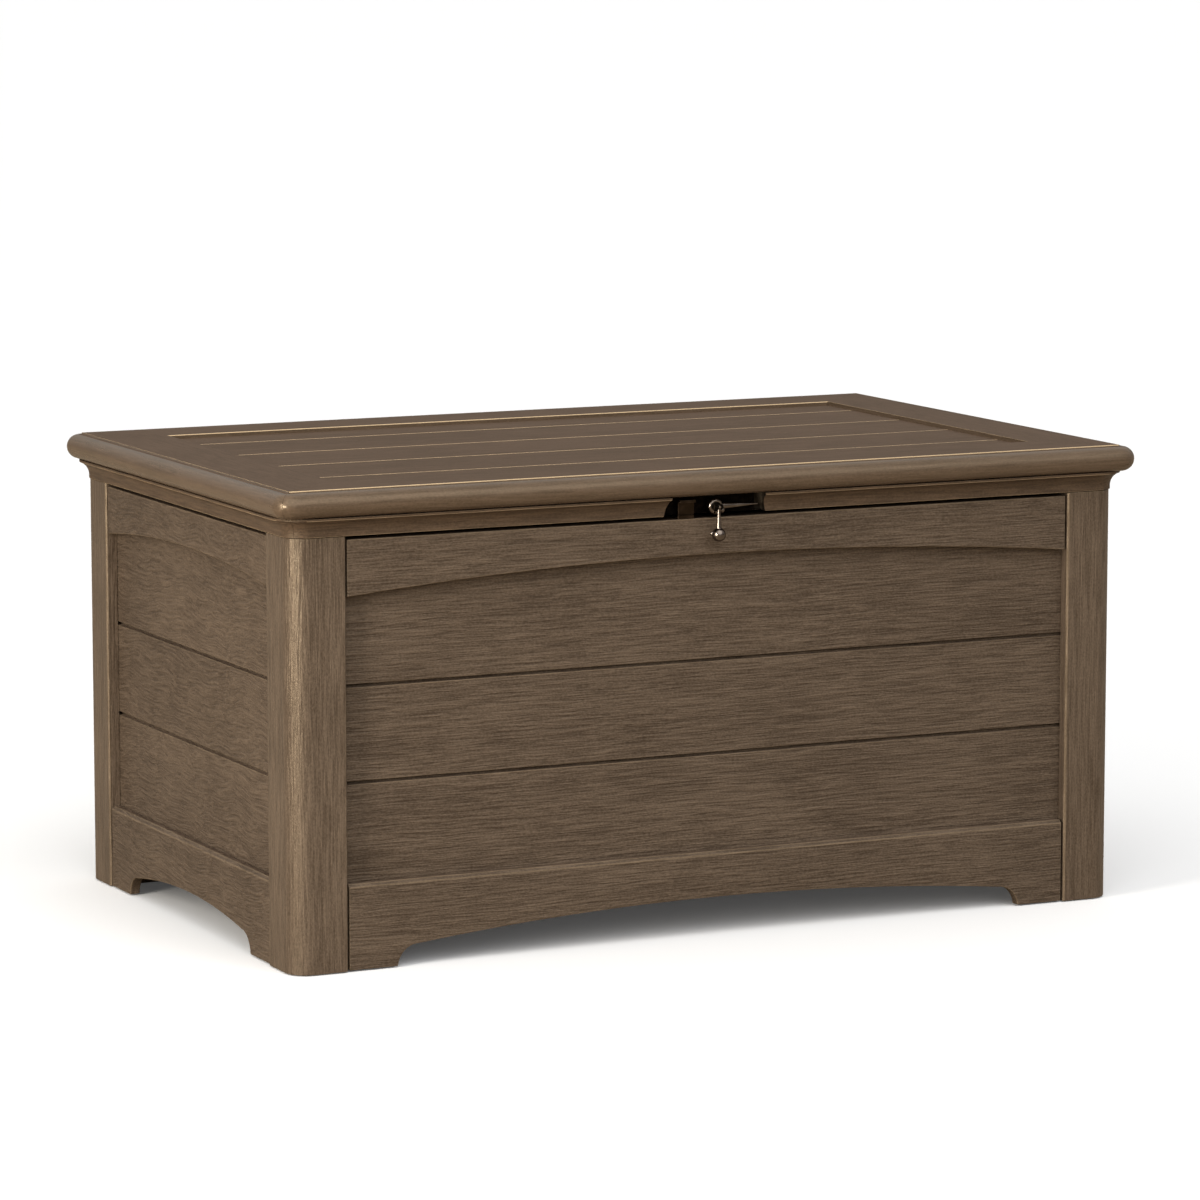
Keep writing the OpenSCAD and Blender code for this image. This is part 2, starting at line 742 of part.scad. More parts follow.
module latch_plate() {
    color(BRONZE) at_side(FRONT) translate([latch_x, 0, stud_z]) difference() {
        union() {
            translate([-plate_w / 2, nose_depth - plate_t, lid_under_z + 1 - stud_z])
                cube([plate_w, plate_t, plate_h]);
            translate([0, nose_depth - 1, 0]) rotate([90, 0, 0])
                cylinder(h = nose_depth - 1 - disc_back, r = stud_r, $fn = curve);
            translate([0, disc_back, 0]) rotate([90, 0, 0])
                cylinder(h = disc_t, r = disc_r, $fn = curve);
            difference() {
                fork_blank();
                translate([-fork_slot / 2, pull_pin_y - 2 * eye_r, -2 * eye_r])
                    cube([fork_slot, disc_back - disc_t - pull_pin_y + 2 * eye_r, 4 * eye_r]);
            }
        }
        across_fork(pull_pin_r + pin_gap, 2 * fork_w);
        translate([-latch_x, 0, -stud_z]) at_plate_screws() screw_hole(SMALL_SCREW, 10);
    }
}

// A cylinder across the fork on the pull pin's axis
module across_fork(radius, length) {
    translate([-length / 2, pull_pin_y, 0]) rotate([0, 90, 0])
        cylinder(h = length, r = radius, $fn = curve);
}

module fork_blank() {
    translate([-fork_w / 2, pull_pin_y, -eye_r])
        cube([fork_w, disc_back - disc_t - pull_pin_y, 2 * eye_r]);
    across_fork(eye_r, fork_w);
}

module latch_plate_screws() color(BRONZE) at_side(FRONT) at_plate_screws() screw(SMALL_SCREW, 14);

module latch_lever() {
    color(BRONZE) at_side(FRONT) translate([latch_x, 0, stud_z]) difference() {
        union() {
            translate([0, hub_back, 0]) rotate([90, 0, 0])
                cylinder(h = hub_back - hub_front - hub_bevel, r = hub_r, $fn = curve);
            translate([0, hub_front + hub_bevel, 0]) rotate([90, 0, 0])
                cylinder(h = hub_bevel, r1 = hub_r, r2 = hub_r - hub_bevel, $fn = curve);
            translate([arm_start, arm_axis, 0]) rotate([0, 90, 0])
                cylinder(h = lever_len - arm_tip_r - arm_start, r1 = arm_r, r2 = arm_tip_r, $fn = curve);
            translate([lever_len - arm_tip_r, arm_axis, 0]) sphere(arm_tip_r, $fn = curve);
            // The finger bead under the root of the arm
            translate([8, -4.5, -4.5]) sphere(bead_r, $fn = curve);
        }
        translate([hub_r, arm_back, -hub_r]) cube([lever_len, hub_r, 2 * hub_r]);
        translate([0, hub_back + 1, 0]) rotate([90, 0, 0])
            cylinder(h = 4 * hub_r, r = stud_r + pin_gap, $fn = curve);
    }
}

module latch_pull() {
    stem_len = pull_len - (ball_r + eye_r) / 2;
    color(BRONZE) at_side(FRONT) translate([latch_x, 0, stud_z]) difference() {
        union() {
            across_fork(eye_r, eye_w);
            translate([0, pull_pin_y, -pull_len + ball_r / 2])
                cylinder(h = stem_len, r1 = stem_bottom, r2 = stem_top, $fn = curve);
            translate([0, pull_pin_y, -pull_len]) sphere(ball_r, $fn = curve);
            translate([-ball_r - 0.8, pull_pin_y, -pull_len + 2]) sphere(pull_bead_r, $fn = curve);
        }
        across_fork(pull_pin_r + pin_gap, 2 * fork_w);
    }
}

module latch_pull_pin() color(BRONZE) at_side(FRONT) translate([latch_x, 0, stud_z])
    across_fork(pull_pin_r, fork_w + 1);

// Places children at the keeper's screws: origin on its foot, -Z into the header
module at_keeper_screws() {
    for (s = [-1, 1]) translate([keeper_x + s * keeper_screw_x, keeper_screw_y, header_top_z + leaf_t])
        children();
}

module keeper_holes() at_keeper_screws() screw_hole(SMALL_SCREW, 16);

module latch_keeper() color(BRONZE) at_side(FRONT) difference() {
    translate([keeper_x, 0, 0]) along(keeper_w) polygon([
        [keeper_back - keeper_t, header_top_z], [keeper_back + keeper_foot, header_top_z],
        [keeper_back + keeper_foot, header_top_z + leaf_t], [keeper_back, header_top_z + leaf_t],
        [keeper_back, keeper_hook_z + keeper_hook_t], [-keeper_t, keeper_hook_z + keeper_hook_t],
        [-keeper_t, keeper_hook_z], [keeper_back - keeper_t, keeper_hook_z]
    ]);
    at_keeper_screws() screw_hole(SMALL_SCREW, 10);
}

module keeper_screws() color(BRONZE) at_side(FRONT) at_keeper_screws() screw(SMALL_SCREW, 14);

post_front_left();
post_front_right();
post_rear_left();
post_rear_right();
front_header();
right_header();
rear_header();
left_header();
front_skirt();
right_skirt();
rear_skirt();
left_skirt();
front_board_bottom();
front_board_middle();
front_board_top();
right_board_bottom();
right_board_middle();
right_board_top();
rear_board_bottom();
rear_board_middle();
rear_board_top();
left_board_bottom();
left_board_middle();
left_board_top();
floor_panel();
floor_cleats();
floor_bearers();
cleat_screws();
foot_glides();
lid_bumpers();
hinge_body_leaves();
hinge_pins();
hinge_body_screws();
latch_keeper();
keeper_screws();
lid_frame_front();
lid_frame_right();
lid_frame_rear();
lid_frame_left();
lid_cove_front();
lid_cove_right();
lid_cove_rear();
lid_cove_left();
lid_board_1();
lid_board_2();
lid_board_3();
lid_board_4();
lid_board_5();
lid_battens();
batten_screws();
hinge_lid_leaves();
hinge_lid_screws();
latch_plate();
latch_plate_screws();
latch_lever();
latch_pull();
latch_pull_pin();
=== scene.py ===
"""Deck storage box: moulded boards with an embossed wood grain, a bullnosed lid and a bronze latch."""

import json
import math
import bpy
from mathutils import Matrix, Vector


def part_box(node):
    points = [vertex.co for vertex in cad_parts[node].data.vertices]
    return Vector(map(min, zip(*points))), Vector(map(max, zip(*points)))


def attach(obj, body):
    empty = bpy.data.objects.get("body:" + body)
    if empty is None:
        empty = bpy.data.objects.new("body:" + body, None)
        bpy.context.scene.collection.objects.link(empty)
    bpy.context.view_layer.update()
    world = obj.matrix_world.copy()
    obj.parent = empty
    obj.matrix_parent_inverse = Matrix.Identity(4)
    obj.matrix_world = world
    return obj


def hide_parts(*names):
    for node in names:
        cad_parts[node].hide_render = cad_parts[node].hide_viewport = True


bl_info = {
    "name": "Deck Storage Box",
    "version": (1, 0, 0),
    "blender": (4, 5, 0),
    "location": "3D View > Sidebar > Deck Box",
    "description": "Finishes the boards, lid, latch and hinges of a deck storage box around its frame",
    "category": "Add Mesh",
}

import bmesh
import bpy
from mathutils import Vector

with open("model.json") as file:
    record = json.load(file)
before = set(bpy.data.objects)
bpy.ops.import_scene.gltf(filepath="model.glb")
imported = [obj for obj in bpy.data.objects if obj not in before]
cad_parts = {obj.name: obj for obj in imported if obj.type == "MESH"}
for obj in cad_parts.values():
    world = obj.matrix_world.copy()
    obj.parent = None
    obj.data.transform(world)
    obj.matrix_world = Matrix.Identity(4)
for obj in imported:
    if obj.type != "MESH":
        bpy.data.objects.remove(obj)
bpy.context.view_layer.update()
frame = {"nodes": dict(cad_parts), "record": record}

MM = 0.001
SIDES = ("front", "right", "rear", "left")


def linear(text):
    """An sRGB hex colour, such as "6b5a49", as linear red, green and blue."""
    parts = [int(text[i : i + 2], 16) / 255 for i in (0, 2, 4)]
    return tuple(c / 12.92 if c <= 0.04045 else ((c + 0.055) / 1.055) ** 2.4 for c in parts)


# ---- Settings ----


def colour(name, description, text):
    return bpy.props.FloatVectorProperty(
        name=name, description=description, default=linear(text), subtype="COLOR", min=0, max=1
    )


def length(name, description, default):
    return bpy.props.FloatProperty(
        name=name, description=description, default=default, min=0, unit="LENGTH", subtype="DISTANCE"
    )


class DeckBoxSizes(bpy.types.PropertyGroup):
    """Sizes of the finish."""

    arris: length("Board arris", "Rounding of the boards' visible edges", 1.2 * MM)
    lid_arris: length("Lid arris", "Rounding of the lid frame's edges", 1.0 * MM)
    metal_arris: length("Metal arris", "Rounding of the hardware's edges", 0.3 * MM)
    grain_spacing: length("Grain spacing", "Distance between the embossed grain lines", 2.5 * MM)
    grain_length: length("Grain length", "Length of an embossed grain line", 46 * MM)
    grain_depth: length("Grain depth", "Depth of the embossed grain", 1.1 * MM)
    floor_size: length("Floor size", "Side of the floor", 240)
    lens: bpy.props.FloatProperty(
        name="Lens", description="Focal length of the camera", default=160.45, min=20, max=300
    )


class DeckBoxColours(bpy.types.PropertyGroup):
    """Colours of the finish."""

    board: colour("Boards", "Stained brown of the walls and posts", "65574a")
    sheen: colour("Sheen", "Warm tint of the stain's reflections", "ffe6c4")
    # This tint is a painted tone for how the up-facing faces catch the light
    level: colour("Lid's level faces", "Tint of the lid's duller level faces", "fffafa")
    board_dark: colour("Boards, dark", "Deeper brown in the grain of the walls and posts", "41362d")
    # The cove rail's browns are darker than the boards': painted shade under the lid's edge
    cove: colour("Cove", "Brown of the rail under the lid's edge", "5d4c3d")
    cove_dark: colour("Cove, dark", "Deeper brown of the rail under the lid's edge", "40342a")
    top: colour("Lid top", "Brown of the lid's top", "605042")
    top_dark: colour("Lid top, dark", "Deeper tone in the grain of the lid's top", "4d4033")
    # This lighter edge tone is partly wear and partly a painted highlight along the edges that face the
    # light
    rubbed_and_lit: colour("Rubbed edge", "Lighter tone of the rubbed edges", "c4ab88")
    inner: colour("Inner boards", "Plain brown of the hidden boards", "5c4f42")
    bronze: colour("Bronze", "Dark bronze of the latch", "31281f")
    bronze_rubbed: colour("Bronze, rubbed", "Warmer bronze on the latch's edges", "55463a")
    # A brighter copy of the latch's bronze for the lever and pull: painted highlight; its brightest tone,
    # on edges and spots, is wear and painted highlight
    painted_highlight: colour("Handled bronze", "Bronze that hands have polished on the lever and pull", "6e645c")
    painted_highlight_bright: colour("Handled bronze, bright", "Brightest bronze of the lever and pull", "a59b90")
    # Near-black painted shade: it lines the latch notch and colours the latch plate and its screws, where
    # the notch lies in shadow
    notch_shade_black: colour("Blackened", "Black lining of the latch notch", "0d0a08")
    zinc: colour("Zinc", "Zinc plating of the hinges and screws", "a9abad")
    rubber: colour("Rubber", "Black rubber of the glides and bumpers", "1b1b1b")
    daylight: colour("Daylight", "Tone of the light overhead", "fffdf9")
    floor: colour("Floor", "Pale floor", "f6f7f9")
    floor_bounce: colour("Floor, bounce", "Tone of the light that the floor throws back", "a2937e")


def sizes():
    return bpy.context.scene.deck_box_sizes


def colours():
    return bpy.context.scene.deck_box_colours


# ---- Materials ----


def add(tree, kind, inputs=None, **settings):
    """Adds a node. Inputs may be values or other nodes' sockets."""
    made = tree.nodes.new(kind)
    for name, value in settings.items():
        setattr(made, name, value)
    for name, value in (inputs or {}).items():
        socket = made.inputs[name]
        if isinstance(value, bpy.types.NodeSocket):
            tree.links.new(value, socket)
        else:
            socket.default_value = value
    return made


def new_material(name):
    """An empty material and its node tree, with an output node."""
    material = bpy.data.materials.new(name)
    material.use_nodes = True
    material.node_tree.nodes.clear()
    return material, material.node_tree


def finish_material(tree, shader):
    add(tree, "ShaderNodeOutputMaterial", {"Surface": shader.outputs["BSDF"]})


def rgba(colour_value):
    return (*colour_value[:3], 1.0)


def noise(tree, vector, scale, detail, roughness=0.5, distortion=0.0):
    """A noise texture's value."""
    inputs = {"Vector": vector, "Scale": scale, "Detail": detail, "Roughness": roughness}
    return add(tree, "ShaderNodeTexNoise", {**inputs, "Distortion": distortion}).outputs["Fac"]


def ramp(tree, value, positions, low, high):
    """A colour that runs from low to high between two values."""
    made = add(tree, "ShaderNodeValToRGB", {"Fac": value})
    for element, position, tone in zip(made.color_ramp.elements, positions, (low, high)):
        element.position = position
        element.color = rgba(tone)
    return made.outputs["Color"]


def mixed(tree, factor, under, over, **settings):
    """A colour socket with a fixed colour mixed over it."""
    inputs = {"Factor": factor, 6: under, 7: rgba(over)}
    return add(tree, "ShaderNodeMix", inputs, data_type="RGBA", **settings).outputs[2]


def span(tree, value, source, target):
    """A value mapped from one range to another."""
    inputs = {"From Min": source[0], "From Max": source[1], "To Min": target[0], "To Max": target[1]}
    return add(tree, "ShaderNodeMapRange", {"Value": value, **inputs}).outputs["Result"]


GRAIN_AXES = {"x": 0, "y": 1, "z": 2}
# Width and length of a pore, and of a band in the stain
PORE = (1.8 * MM, 3.2 * MM)
BAND = (26 * MM, 420 * MM)
PORE_DEPTH = 0.35 * MM
# Share of each pattern in the stain's tone, and the tones that take its dark and its light brown
TONE_SHARES = {"clouds": 0.15, "bands": 0.12, "ridges": 0.4, "pores": 0.33}
TONE_RANGE = (0.4, 0.6)
# The lid's level faces reflect less, and more softly
LEVEL_ROUGHNESS = 0.62
LEVEL_SPECULAR = 0.12
RESIN_IOR = 1.5


def wood_grain_resin(
    name, axis, light, dark, roughness=0.5, depth=1.0, wander=0.005, rub_and_highlight=0.1, specular=0.25
):
    """Moulded resin with an embossed wood grain and a stained, satin face. The grain gives fine
    raised lines along the board, the stain gives cloudy patches, and the arrises are lighter: partly
    wear, partly a painted highlight on the edges that face the light. The lid's level faces are duller
    than its rounded edge, and greyer through a painted tint of the faces that look up. Depth scales the
    relief, wander is how far the lines sway, and rub is how much of the lighter edge tone an arris takes."""
    size = sizes()
    material, tree = new_material(name)
    coords = add(tree, "ShaderNodeTexCoord").outputs["Object"]
    seed = add(tree, "ShaderNodeAttribute", attribute_name="board_seed").outputs["Fac"]
    apart = add(tree, "ShaderNodeVectorMath", {0: (3.1, 5.7, 2.3)}, operation="SCALE")
    tree.links.new(seed, apart.inputs["Scale"])
    place = add(
        tree, "ShaderNodeVectorMath", {0: coords, 1: apart.outputs["Vector"]}, operation="ADD"
    ).outputs["Vector"]

    # Slow wandering of the grain across the board
    drift = add(tree, "ShaderNodeTexNoise", {"Vector": place, "Scale": 7.0, "Detail": 2.0})
    centred = add(
        tree, "ShaderNodeVectorMath", {0: drift.outputs["Color"], 1: (0.5, 0.5, 0.5)}, operation="SUBTRACT"
    )
    bent = add(
        tree,
        "ShaderNodeVectorMath",
        {0: centred.outputs["Vector"], 1: (wander, wander, wander), 2: place},
        operation="MULTIPLY_ADD",
    ).outputs["Vector"]

    def stretched(spacing, run):
        """The coordinates scaled so that one unit is a grain line's spacing and length."""
        scale = [1 / spacing] * 3
        scale[GRAIN_AXES[axis]] = 1 / run
        return add(tree, "ShaderNodeMapping", {"Vector": bent, "Scale": scale}).outputs["Vector"]

    lines = stretched(size.grain_spacing, size.grain_length)
    patterns = {
        "clouds": noise(tree, place, 5.5, 4.0, 0.6),
        "bands": noise(tree, stretched(*BAND), 1.0, 3.0, 0.55),
        "ridges": noise(tree, lines, 1.0, 2.5, 0.55, 0.25),
        "pores": noise(tree, stretched(*PORE), 1.0, 2.0, 0.6),
    }

    # Stain: the grain's ridges and pores decide most of the tone, clouds and bands vary it
    tone = 0.0
    for pattern, share in TONE_SHARES.items():
        tone = add(
            tree, "ShaderNodeMath", {0: patterns[pattern], 1: share, 2: tone}, operation="MULTIPLY_ADD"
        ).outputs[0]
    skin = ramp(tree, tone, TONE_RANGE, dark, light)

    # Lighter arrises: partly wear, partly a painted highlight on the edges that catch the light
    arris = add(tree, "ShaderNodeAttribute", attribute_name="arris").outputs["Fac"]
    patchy = add(
        tree, "ShaderNodeMath", {0: patterns["ridges"], 1: rub_and_highlight, 2: rub_and_highlight * 0.5}, operation="MULTIPLY_ADD"
    ).outputs[0]
    lit_and_worn = add(
        tree, "ShaderNodeMath", {0: arris, 1: patchy}, operation="MULTIPLY", use_clamp=True
    ).outputs[0]
    skin = mixed(tree, lit_and_worn, skin, colours().rubbed_and_lit)

    # Level faces with their painted tint, and painted shade that blackens the walls of the latch notch
    level = add(tree, "ShaderNodeAttribute", attribute_name="level").outputs["Fac"]
    painted_notch_shade = add(tree, "ShaderNodeAttribute", attribute_name="painted_notch_shade").outputs["Fac"]
    # Up-facing faces take a painted tint for the light they catch
    skin = mixed(tree, level, skin, colours().level, blend_type="MULTIPLY")
    skin = mixed(tree, painted_notch_shade, skin, colours().notch_shade_black)
    gloss = span(tree, patterns["bands"], (0.3, 0.7), (roughness - 0.04, roughness + 0.06))
    gloss = add(tree, "ShaderNodeMix", {"Factor": level, "A": gloss, "B": LEVEL_ROUGHNESS})
    sheen = add(tree, "ShaderNodeMix", {"Factor": level, "A": specular, "B": LEVEL_SPECULAR})

    # Doubled, because the noise seldom reaches the ends of its range
    lines_depth = size.grain_depth * 2 * depth
    relief = add(tree, "ShaderNodeBump", {"Height": patterns["ridges"], "Distance": lines_depth})
    relief = add(
        tree,
        "ShaderNodeBump",
        {"Height": patterns["pores"], "Distance": PORE_DEPTH * depth, "Normal": relief.outputs["Normal"]},
    )
    shader = add(
        tree,
        "ShaderNodeBsdfPrincipled",
        {
            "Base Color": skin,
            "Roughness": gloss.outputs["Result"],
            "IOR": RESIN_IOR,
            "Specular IOR Level": sheen.outputs["Result"],
            "Specular Tint": rgba(colours().sheen),
            "Normal": relief.outputs["Normal"],
        },
    )
    finish_material(tree, shader)
    return material


def moulded_resin():
    """Plain moulded resin of the hidden boards: an even, fine orange-peel skin."""
    material, tree = new_material("moulded resin")
    coords = add(tree, "ShaderNodeTexCoord").outputs["Object"]
    peel = noise(tree, coords, 450.0, 2.0)
    flow = noise(tree, coords, 9.0, 3.0)
    skin = ramp(tree, flow, (0.3, 0.7), [c * 0.85 for c in colours().inner], colours().inner)
    relief = add(tree, "ShaderNodeBump", {"Height": peel, "Distance": 0.12 * MM}).outputs["Normal"]
    shader = add(
        tree,
        "ShaderNodeBsdfPrincipled",
        {"Base Color": skin, "Roughness": 0.62, "IOR": RESIN_IOR, "Normal": relief},
    )
    finish_material(tree, shader)
    return material


def metal(name, base, rubbed_and_lit, roughness, blotch):
    """Cast or plated metal: cloudy tarnish in blotches, a fine cast skin and brighter rubbed edges."""
    material, tree = new_material(name)
    coords = add(tree, "ShaderNodeTexCoord").outputs["Object"]
    tarnish = noise(tree, coords, 1 / blotch, 4.0)
    cast = noise(tree, coords, 1 / (0.9 * MM), 2.0)
    arris = add(tree, "ShaderNodeAttribute", attribute_name="arris").outputs["Fac"]
    rub_and_highlight = add(tree, "ShaderNodeMath", {0: arris, 1: tarnish}, operation="MULTIPLY").outputs[0]
    spots = span(tree, tarnish, (0.45, 0.75), (0.0, 0.35))
    amount = add(tree, "ShaderNodeMath", {0: rub_and_highlight, 1: spots}, operation="ADD", use_clamp=True).outputs[0]
    skin = mixed(tree, amount, rgba(base), rubbed_and_lit)
    gloss = span(tree, tarnish, (0.3, 0.7), (roughness, roughness + 0.14))
    relief = add(tree, "ShaderNodeBump", {"Height": cast, "Distance": 0.05 * MM}).outputs["Normal"]
    shader = add(
        tree,
        "ShaderNodeBsdfPrincipled",
        {"Base Color": skin, "Metallic": 1.0, "Roughness": gloss, "Normal": relief},
    )
    finish_material(tree, shader)
    return material


def rubber():
    """Moulded rubber: nearly black, matte, with a fine skin."""
    material, tree = new_material("moulded rubber")
    coords = add(tree, "ShaderNodeTexCoord").outputs["Object"]
    grit = noise(tree, coords, 700.0, 2.0)
    skin = ramp(tree, grit, (0.0, 1.0), [c * 0.7 for c in colours().rubber], colours().rubber)
    relief = add(tree, "ShaderNodeBump", {"Height": grit, "Distance": 0.1 * MM}).outputs["Normal"]
    shader = add(
        tree,
        "ShaderNodeBsdfPrincipled",
        {"Base Color": skin, "Roughness": 0.8, "IOR": 1.52, "Normal": relief},
    )
    finish_material(tree, shader)
    return material


MATERIALS = {}


def make_materials():
    """Every finish of the box, by name."""
    c = colours()
    wood = {"light": c.board, "dark": c.board_dark}
    # The lid's frame and boards take a strong lighter edge tone: wear, and a painted highlight along their
    # top edges and seams
    top = {"light": c.top, "dark": c.top_dark, "rub_and_highlight": 1.4}
    MATERIALS["wall_x"] = wood_grain_resin("wood-grain resin x", "x", **wood)
    MATERIALS["wall_y"] = wood_grain_resin("wood-grain resin y", "y", **wood, wander=0.045)
    MATERIALS["wall_z"] = wood_grain_resin(
        "wood-grain resin z", "z", **wood, roughness=0.36, depth=0.5, wander=0.003, specular=0.6
    )
    for axis in ("x", "y"):
        # The cove's darker browns are painted shade under the lid's edge
        MATERIALS[f"cove_{axis}"] = wood_grain_resin(
            f"cove resin {axis}", axis, c.cove, c.cove_dark, roughness=0.45, depth=0.3, rub_and_highlight=0.5
        )
        MATERIALS[f"frame_{axis}"] = wood_grain_resin(
            f"lid frame resin {axis}", axis, **top, roughness=0.26, depth=0.07, specular=0.5
        )
    MATERIALS["lid_x"] = wood_grain_resin("lid board resin", "x", **top, roughness=0.45, depth=0.4)
    MATERIALS["inner"] = moulded_resin()
    MATERIALS["bronze"] = metal("dark bronze", c.bronze, c.bronze_rubbed, 0.3, 9 * MM)
    # The lever and pull: a brighter copy of the bronze, a painted highlight
    MATERIALS["painted_highlight"] = metal("handled bronze", c.painted_highlight, c.painted_highlight_bright, 0.13, 14 * MM)
    # The latch plate's near-black steel is painted shade of the notch it lies in
    MATERIALS["black"] = metal("blackened steel", c.notch_shade_black, c.bronze, 0.5, 7 * MM)
    bright_zinc = [min(1, v * 1.2) for v in c.zinc]
    MATERIALS["zinc"] = metal("zinc plated steel", c.zinc, bright_zinc, 0.34, 6 * MM)
    MATERIALS["rubber"] = rubber()


# ---- Mesh tools ----

# Edges sharper and longer than this are rounded
SHARP = math.radians(28)
SHORT_EDGE = 1.0 * MM
# The lid edge's radius, the radius of its turn at a corner, and the loops' distances past the turn
NOSE_RADIUS = 15 * MM
NOSE_TURN = 9 * MM
TURN_LOOPS = (0.4 * MM, 2 * MM, 8 * MM)
# How far the latch notch reaches past its plate: its walls this far take a painted shade
NOTCH_MARGIN = 11 * MM
# Two points closer than this are one
TOUCHING = 1e-6


def copy_of(node):
    """A bmesh of a CAD node with its loose triangles merged and its flat faces made whole."""
    bm = bmesh.new()
    bm.from_mesh(frame["nodes"][node].data)
    bmesh.ops.remove_doubles(bm, verts=bm.verts, dist=TOUCHING)
    bmesh.ops.dissolve_limit(
        bm, angle_limit=math.radians(0.5), use_dissolve_boundaries=False, verts=bm.verts, edges=bm.edges
    )
    return bm


def is_diagonal(face):
    """True for a mitre's face, which runs slantwise to the walls."""
    return abs(face.normal.x) > 0.3 and abs(face.normal.y) > 0.3 and abs(face.normal.z) < 0.1


def round_edges(bm, edges, width, segments=3, lit_and_worn=(-1, 1)):
    """Bevels edges. New faces whose normal's height lies within the given range are marked as arrises for
    the lighter edge tone: wear, and a painted highlight where the range keeps to the faces turned towards
    the light.
    """
    layer = bm.loops.layers.float.get("arris") or bm.loops.layers.float.new("arris")
    made = bmesh.ops.bevel(
        bm,
        geom=edges,
        offset=width,
        offset_type="OFFSET",
        segments=segments,
        profile=0.5,
        affect="EDGES",
        clamp_overlap=True,
        material=-1,
        miter_outer="SHARP",
    )
    for face in made["faces"]:
        face.normal_update()
        if lit_and_worn[0] <= face.normal.z <= lit_and_worn[1]:
            for loop in face.loops:
                loop[layer] = 1.0


def sharp_edges(bm, keep_mitres):
    """The outer edges to round, without those of a mitre where these are kept."""
    return [
        e
        for e in bm.edges
        if len(e.link_faces) == 2
        and e.calc_length() > SHORT_EDGE
        and e.calc_face_angle(0) > SHARP
        and e.is_convex
        and not (keep_mitres and any(is_diagonal(f) for f in e.link_faces))
    ]


def keep_mitres_crisp(bm):
    """Stops the shading from running over the edges of a tight mitre."""
    for edge in bm.edges:
        if len(edge.link_faces) == 2 and edge.calc_face_angle(0) > SHARP:
            if any(is_diagonal(face) for face in edge.link_faces):
                edge.smooth = False


def finished(name, bm, material, node):
    """Makes the bmesh an object that stands for the CAD node, rides on its body and takes its finish."""
    mesh = bpy.data.meshes.new(name)
    bm.to_mesh(mesh)
    bm.free()
    # Up-facing faces are marked for their duller finish and their painted tint
    level = mesh.attributes.new("level", "FLOAT", "FACE")
    level.data.foreach_set("value", [float(face.normal.z > 0.999) for face in mesh.polygons])
    seed = mesh.attributes.new("board_seed", "FLOAT", "FACE")
    # Each board's name gives it a place of its own in the grain
    value = sum(ord(letter) * (i + 1) for i, letter in enumerate(name)) % 97 / 9.7
    seed.data.foreach_set("value", [value] * len(mesh.polygons))
    mesh.materials.append(material)
    mesh.shade_smooth()
    piece = bpy.data.objects.new(name, mesh)
    bpy.context.scene.collection.objects.link(piece)
    weighted = piece.modifiers.new("even shading", "WEIGHTED_NORMAL")
    weighted.weight = 80
    weighted.keep_sharp = True
    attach(piece, body_of(node))
    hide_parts(node)
    return piece


def body_of(node):
    bodies = frame["record"]["behaviour"]["bodies"]
    return next(body for body, nodes in bodies.items() if node in nodes)


def paint_notch_shade(bm):
    """Marks the walls of the latch notch for a painted shade that turns them near black."""
    layer = bm.faces.layers.float.new("painted_notch_shade")
    low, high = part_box("latch_plate")
    for face in bm.faces:
        middle = face.calc_center_median()
        within = low[0] - NOTCH_MARGIN < middle.x < high[0] + NOTCH_MARGIN
        if within and face.normal.y < 0.5 and middle.y < high[1] + 0.1 * MM:
            face[layer] = 1.0


def softened(node, material, width, segments=3, mitred=False, lit_and_worn=(-1, 1)):
    """The CAD node's shape with rounded arrises, and crisp ones along its mitres."""
    bm = copy_of(node)
    round_edges(bm, sharp_edges(bm, keep_mitres=mitred), width, segments, lit_and_worn)
    if mitred:
        keep_mitres_crisp(bm)
    # The front cove rail's notch walls take a painted shade
    if node == "lid_cove_front":
        paint_notch_shade(bm)
    return finished(f"{node}_finished", bm, material, node)


def lid_frame(side, material):
    """A member of the lid's frame. Loops close to its round corners keep their shading round."""
    node = f"lid_frame_{side}"
    bm = copy_of(node)
    low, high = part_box(node)
    axis = 0 if along_wall(side) == "x" else 1
    # Only the up-facing arrises take the lighter tone: a painted highlight along the lid's top edges
    round_edges(bm, sharp_edges(bm, keep_mitres=True), sizes().lid_arris, lit_and_worn=(0.1, 1))
    keep_mitres_crisp(bm)
    turn = NOSE_RADIUS + NOSE_TURN
    for out, end in ((1, low[axis] + turn), (-1, high[axis] - turn)):
        for step in TURN_LOOPS:
            spot, normal = [0, 0, 0], [0, 0, 0]
            spot[axis] = end + out * step
            normal[axis] = 1
            everything = [*bm.verts, *bm.edges, *bm.faces]
            bmesh.ops.bisect_plane(bm, geom=everything, dist=TOUCHING, plane_co=spot, plane_no=normal)
    return finished(f"{node}_finished", bm, material, node)


def along_wall(side):
    return "x" if side in ("front", "rear") else "y"


# ---- Operators ----


class DECKBOX_OT_posts(bpy.types.Operator):
    """Finish the four corner posts"""

    bl_idname = "deckbox.posts"
    bl_label = "Corner Posts"

    def execute(self, context):
        for end in ("front", "rear"):
            for hand in ("left", "right"):
                softened(f"post_{end}_{hand}", MATERIALS["wall_z"], sizes().arris)
        return {"FINISHED"}


class DECKBOX_OT_rails(bpy.types.Operator):
    """Finish the arched headers and skirts"""

    bl_idname = "deckbox.rails"
    bl_label = "Headers and Skirts"

    def execute(self, context):
        for side in SIDES:
            material = MATERIALS[f"wall_{along_wall(side)}"]
            for rail in ("header", "skirt"):
                softened(f"{side}_{rail}", material, sizes().arris)
        return {"FINISHED"}


